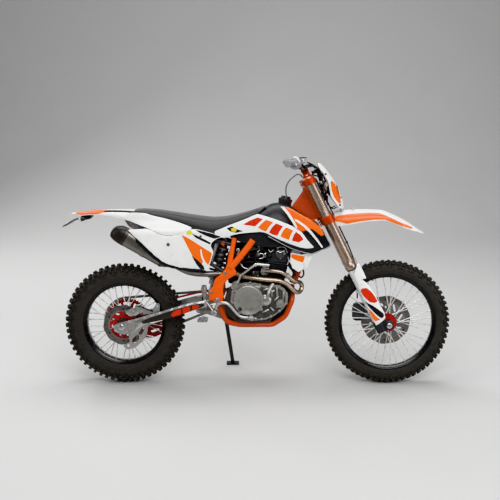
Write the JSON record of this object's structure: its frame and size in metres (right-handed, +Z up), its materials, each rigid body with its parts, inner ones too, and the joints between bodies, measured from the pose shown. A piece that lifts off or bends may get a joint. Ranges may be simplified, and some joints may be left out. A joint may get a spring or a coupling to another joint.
{
  "type": "enduro dirt bike",
  "caption": "Off-road motorcycle with knobbly tyres, leaning on its side stand; wheels turn, bars steer and the stand folds.",
  "frame": {"origin": "on the floor below the middle of the bounding box, the machine leaning to its left on the side stand", "axes": "+X forward, +Y to the machine's left, +Z up"},
  "size_m": [2.1549, 0.8178, 1.2948],
  "materials": {
    "orange_frame": "gloss",
    "dark_frame": "satin",
    "orange_clamp": "anodised",
    "bronze_tube": "anodised",
    "silver_metal": "brushed",
    "engine_metal": "cast",
    "dark_engine": "satin",
    "exhaust": "satin",
    "silencer": "satin",
    "white_plastic": "gloss",
    "orange_plastic": "gloss",
    "black_plastic": "satin",
    "lamp": "gloss",
    "black_rim": "gloss",
    "red_hub": "anodised",
    "steel": "ground",
    "rubber": "matte",
    "tyre": "matte",
    "seat_cover": "grained"
  },
  "bodies": {
    "chassis": {"airbox": "black_plastic", "brake_pedal": "silver_metal", "breather_hose": "rubber", "chain": "steel", "chain_guide": "black_plastic", "clutch_cover": "engine_metal", "crankcase": "engine_metal", "cylinder": "dark_engine", "cylinder_head": "engine_metal", "footpegs": "dark_frame", "frame_cradle": "orange_frame", "frame_trunks": "orange_frame", "gear_lever": "silver_metal", "header_pipe": "exhaust", "intake": "rubber", "kick_lever": "silver_metal", "magneto_cover": "engine_metal", "radiators": "silver_metal", "rear_axle": "silver_metal", "rear_caliper": "silver_metal", "rear_fender": "white_plastic", "seat": "seat_cover", "shock_absorber": "silver_metal", "shock_spring": "dark_frame", "shrouds": "orange_plastic", "side_panels": "white_plastic", "silencer": "silencer", "steering_head": "orange_frame", "subframe": "dark_frame", "swingarm": "silver_metal", "tail_light": "lamp", "tank": "black_plastic", "tank_cap": "black_plastic"},
    "steering": {"upper_clamp": "orange_clamp", "lower_clamp": "orange_clamp", "fork_tubes": "bronze_tube", "fork_sliders": "silver_metal", "fork_guards": "white_plastic", "front_axle": "silver_metal", "front_fender": "white_plastic", "headlight_mask": "white_plastic", "headlight": "lamp", "handlebar": "black_rim", "grips": "rubber", "control_levers": "silver_metal", "front_caliper": "silver_metal", "front_brake_hose": "rubber"},
    "front_wheel": {"front_tyre": "tyre", "front_rim": "black_rim", "front_hub": "red_hub", "front_disc": "steel"},
    "rear_wheel": {"rear_tyre": "tyre", "rear_rim": "black_rim", "rear_hub": "red_hub", "rear_disc": "steel", "rear_sprocket": "red_hub"},
    "side_stand": {"side_stand": "dark_frame"}
  },
  "joints": [
    {"name": "steering_turn", "type": "hinge", "parent": "chassis", "child": "steering", "pos_m": [0.27204, -0.01514, 1.11475], "axis": [-0.4384, 0.1251, 0.89], "range_deg": [-42, 42]},
    {"name": "front_wheel_spin", "type": "hinge", "parent": "steering", "child": "front_wheel", "pos_m": [0.72924, -0.12325, 0.34551], "axis": [0, 0.9903, -0.1392], "continuous": true},
    {"name": "rear_wheel_spin", "type": "hinge", "parent": "chassis", "child": "rear_wheel", "pos_m": [-0.73816, -0.12449, 0.3367], "axis": [0, 0.9903, -0.1392], "continuous": true},
    {"name": "side_stand_swing", "type": "hinge", "parent": "chassis", "child": "side_stand", "pos_m": [-0.18046, 0.00871, 0.32879], "axis": [0.1136, 0.9575, 0.265], "range_deg": [0, 98]}
  ]
}
